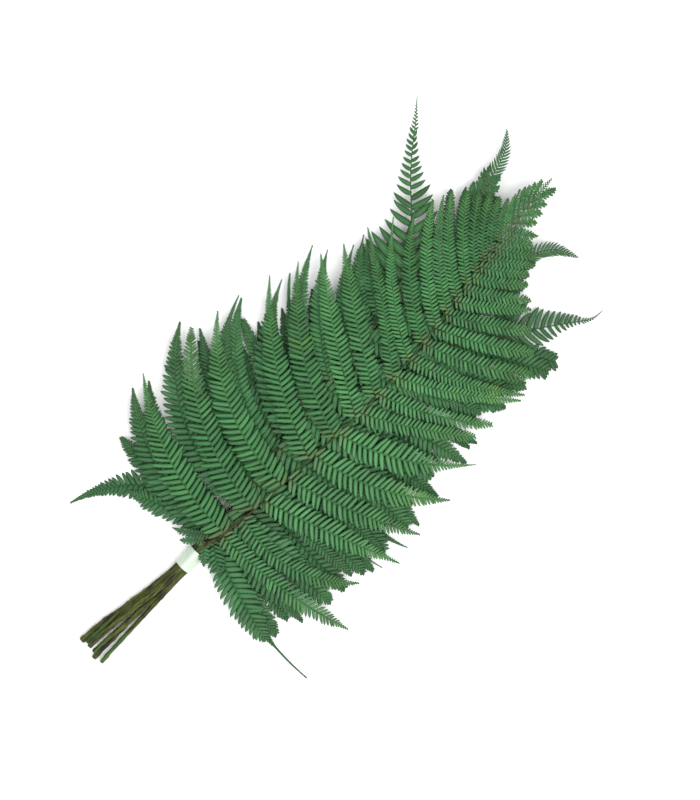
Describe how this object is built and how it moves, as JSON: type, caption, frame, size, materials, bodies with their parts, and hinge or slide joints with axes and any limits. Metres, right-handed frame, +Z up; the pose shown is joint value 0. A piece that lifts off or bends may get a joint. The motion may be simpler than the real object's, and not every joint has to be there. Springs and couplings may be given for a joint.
{
  "type": "bunch of fern fronds",
  "caption": "Flat bunch of long feathery green fern fronds in layers, their brown-green stems held together by a white tape tie.",
  "frame": {"origin": "middle of the flat underside of the tape tie, on the surface the bunch lies on", "axes": "+X along the stems to the frond tips, +Y to the left seen from above, +Z up"},
  "size_m": [0.61, 0.304, 0.0247],
  "materials": {
    "top_leaf": "satin mid-green leaf",
    "under_leaf": "satin dark green leaf",
    "tape": "satin white tape"
  },
  "bodies": {
    "root": {"frond_1": "top_leaf", "frond_2": "under_leaf", "frond_3": "under_leaf", "frond_4": "under_leaf", "frond_5": "under_leaf", "frond_6": "under_leaf", "tie_band": "tape"}
  },
  "joints": []
}
